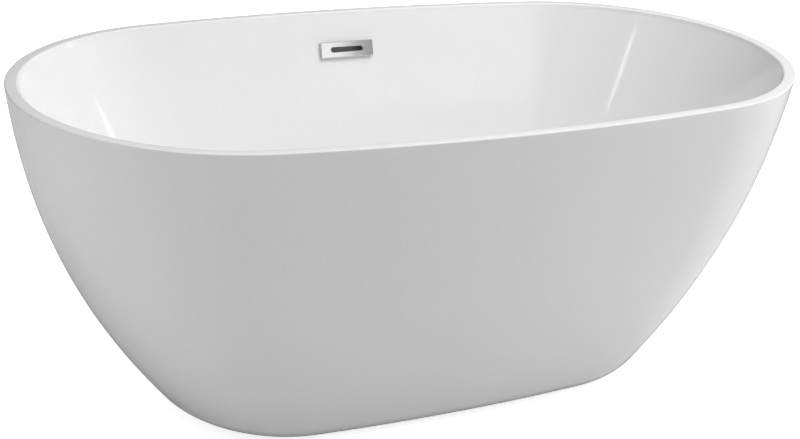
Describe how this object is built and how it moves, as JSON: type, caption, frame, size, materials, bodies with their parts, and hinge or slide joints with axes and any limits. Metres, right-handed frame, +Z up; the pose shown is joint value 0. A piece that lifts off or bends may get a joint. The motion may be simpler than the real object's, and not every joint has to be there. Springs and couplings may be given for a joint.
{
  "type": "freestanding bathtub",
  "caption": "Freestanding oval bathtub with a double wall that narrows to its base, a slotted overflow, a push stopper and adjustable feet.",
  "frame": {"origin": "on the floor under the middle of the oval rim, level with the undersides of the feet", "axes": "+X along the length, +Y across the width towards the overflow, +Z up"},
  "size_m": [1.399, 0.7486, 0.58],
  "materials": {
    "acrylic": "polished gloss",
    "glass_fibre": "rough resin and fibre",
    "adhesive": "matt",
    "plywood": "raw",
    "frame_steel": "grey paint, satin",
    "zinc_steel": "zinc plated",
    "spring_steel": "bright",
    "black_plastic": "matt",
    "white_plastic": "satin",
    "grey_hose": "satin",
    "rubber": "matt",
    "chrome": "mirror polish",
    "brass": "machined"
  },
  "bodies": {
    "tub": {"base_board": "plywood", "basin": "acrylic", "basin_backing": "glass_fibre", "board_screws": "zinc_steel", "foot_bracket_back_left": "frame_steel", "foot_bracket_back_right": "frame_steel", "foot_bracket_front_left": "frame_steel", "foot_bracket_front_right": "frame_steel", "foot_bracket_middle": "frame_steel", "frame_cross_left": "frame_steel", "frame_cross_middle": "frame_steel", "frame_cross_right": "frame_steel", "frame_end_caps": "black_plastic", "frame_rail_back": "frame_steel", "frame_rail_front": "frame_steel", "hose_clamps": "zinc_steel", "outer_skirt": "acrylic", "overflow_chute": "white_plastic", "overflow_cover": "chrome", "overflow_gasket_front": "rubber", "overflow_gasket_rear": "rubber", "overflow_hose": "grey_hose", "overflow_mount": "white_plastic", "overflow_screws": "zinc_steel", "rim_bond": "adhesive", "skirt_backing": "glass_fibre", "skirt_pads": "rubber", "skirt_tie_back": "frame_steel", "skirt_tie_front": "frame_steel", "skirt_tie_left": "frame_steel", "skirt_tie_right": "frame_steel", "stopper_barrel": "brass", "stopper_spring": "spring_steel", "tail_nut": "white_plastic", "tail_pipe": "white_plastic", "tail_washer": "rubber", "waste_flange": "chrome", "waste_gasket_lower": "rubber", "waste_gasket_upper": "rubber", "waste_locknut": "black_plastic", "waste_tee": "white_plastic"},
    "stopper": {"stopper_cap": "chrome", "stopper_seal": "rubber", "stopper_stem": "brass"},
    "foot_front_left": {"foot_pad_front_left": "black_plastic", "foot_stud_front_left": "zinc_steel"},
    "nuts_front_left": {"foot_nuts_front_left": "zinc_steel"},
    "foot_front_right": {"foot_pad_front_right": "black_plastic", "foot_stud_front_right": "zinc_steel"},
    "nuts_front_right": {"foot_nuts_front_right": "zinc_steel"},
    "foot_back_left": {"foot_pad_back_left": "black_plastic", "foot_stud_back_left": "zinc_steel"},
    "nuts_back_left": {"foot_nuts_back_left": "zinc_steel"},
    "foot_back_right": {"foot_pad_back_right": "black_plastic", "foot_stud_back_right": "zinc_steel"},
    "nuts_back_right": {"foot_nuts_back_right": "zinc_steel"},
    "foot_middle": {"foot_pad_middle": "black_plastic", "foot_stud_middle": "zinc_steel"},
    "nuts_middle": {"foot_nuts_middle": "zinc_steel"}
  },
  "joints": [
    {"name": "stopper_slide", "type": "slide", "parent": "tub", "child": "stopper", "axis": [0, 0, 1], "range_m": [0, 0.01], "deforming": ["stopper_spring"]},
    {"name": "nuts_turn_front_left", "type": "hinge", "parent": "tub", "child": "nuts_front_left", "pos_m": [-0.28, -0.12, 0.0865], "axis": [0, 0, 1], "range_deg": [0, 3086]},
    {"name": "foot_slide_front_left", "type": "slide", "parent": "tub", "child": "foot_front_left", "axis": [0, 0, -1], "range_m": [0, 0.015]},
    {"name": "nuts_turn_front_right", "type": "hinge", "parent": "tub", "child": "nuts_front_right", "pos_m": [0.28, -0.12, 0.0865], "axis": [0, 0, 1], "range_deg": [0, 3086]},
    {"name": "foot_slide_front_right", "type": "slide", "parent": "tub", "child": "foot_front_right", "axis": [0, 0, -1], "range_m": [0, 0.015]},
    {"name": "nuts_turn_back_left", "type": "hinge", "parent": "tub", "child": "nuts_back_left", "pos_m": [-0.28, 0.12, 0.0865], "axis": [0, 0, 1], "range_deg": [0, 3086]},
    {"name": "foot_slide_back_left", "type": "slide", "parent": "tub", "child": "foot_back_left", "axis": [0, 0, -1], "range_m": [0, 0.015]},
    {"name": "nuts_turn_back_right", "type": "hinge", "parent": "tub", "child": "nuts_back_right", "pos_m": [0.28, 0.12, 0.0865], "axis": [0, 0, 1], "range_deg": [0, 3086]},
    {"name": "foot_slide_back_right", "type": "slide", "parent": "tub", "child": "foot_back_right", "axis": [0, 0, -1], "range_m": [0, 0.015]},
    {"name": "nuts_turn_middle", "type": "hinge", "parent": "tub", "child": "nuts_middle", "pos_m": [-0.167, 0, 0.0865], "axis": [0, 0, 1], "range_deg": [0, 3086]},
    {"name": "foot_slide_middle", "type": "slide", "parent": "tub", "child": "foot_middle", "axis": [0, 0, -1], "range_m": [0, 0.015]}
  ],
  "couplings": [
    {"joint": "nuts_turn_front_left", "follows": "foot_slide_front_left", "rad_per_m": 3590.4},
    {"joint": "nuts_turn_front_right", "follows": "foot_slide_front_right", "rad_per_m": 3590.4},
    {"joint": "nuts_turn_back_left", "follows": "foot_slide_back_left", "rad_per_m": 3590.4},
    {"joint": "nuts_turn_back_right", "follows": "foot_slide_back_right", "rad_per_m": 3590.4},
    {"joint": "nuts_turn_middle", "follows": "foot_slide_middle", "rad_per_m": 3590.4}
  ]
}
